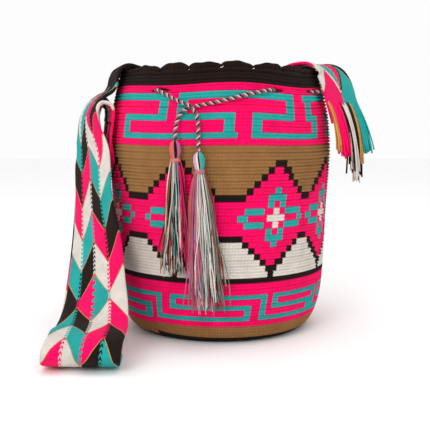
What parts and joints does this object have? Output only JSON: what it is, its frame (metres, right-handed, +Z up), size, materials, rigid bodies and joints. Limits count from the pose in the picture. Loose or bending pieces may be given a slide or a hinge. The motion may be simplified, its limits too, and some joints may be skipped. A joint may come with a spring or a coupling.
{
  "type": "crocheted bucket bag",
  "caption": "Crocheted wayuu mochila: open cylindrical yarn bag with a scalloped rim, a woven shoulder strap and a tasselled drawstring.",
  "frame": {"origin": "middle of the flat base, on the surface that the bag stands on", "axes": "+Z up along the bag's axis, -Y out of the front with the knot and tassels, +X to the right of a person facing the front"},
  "size_m": [0.3468, 0.3341, 0.2988],
  "materials": {
    "crocheted_cloth": "tight crochet of matt yarn in hot pink, teal, tan, dark brown and white",
    "woven_band": "matt woven yarn band with coloured parallelograms and thin gold lines",
    "loose_yarn": "loose matt yarn ends",
    "sewing_yarn": "matt dark yarn",
    "twisted_cord": "twisted yarn cord in dark brown, white, pink and teal",
    "tassel_yarn": "bundles of loose yarn in many colours"
  },
  "bodies": {
    "root": {"bag_body": "crocheted_cloth", "strap": "woven_band", "strap_fringe_right": "loose_yarn", "strap_fringe_left": "loose_yarn", "strap_seam_yarn_right": "sewing_yarn", "strap_seam_yarn_left": "sewing_yarn", "drawstring_cord": "twisted_cord", "tassel_left": "tassel_yarn", "tassel_left_tie": "sewing_yarn", "tassel_right": "tassel_yarn", "tassel_right_tie": "sewing_yarn"}
  },
  "joints": []
}
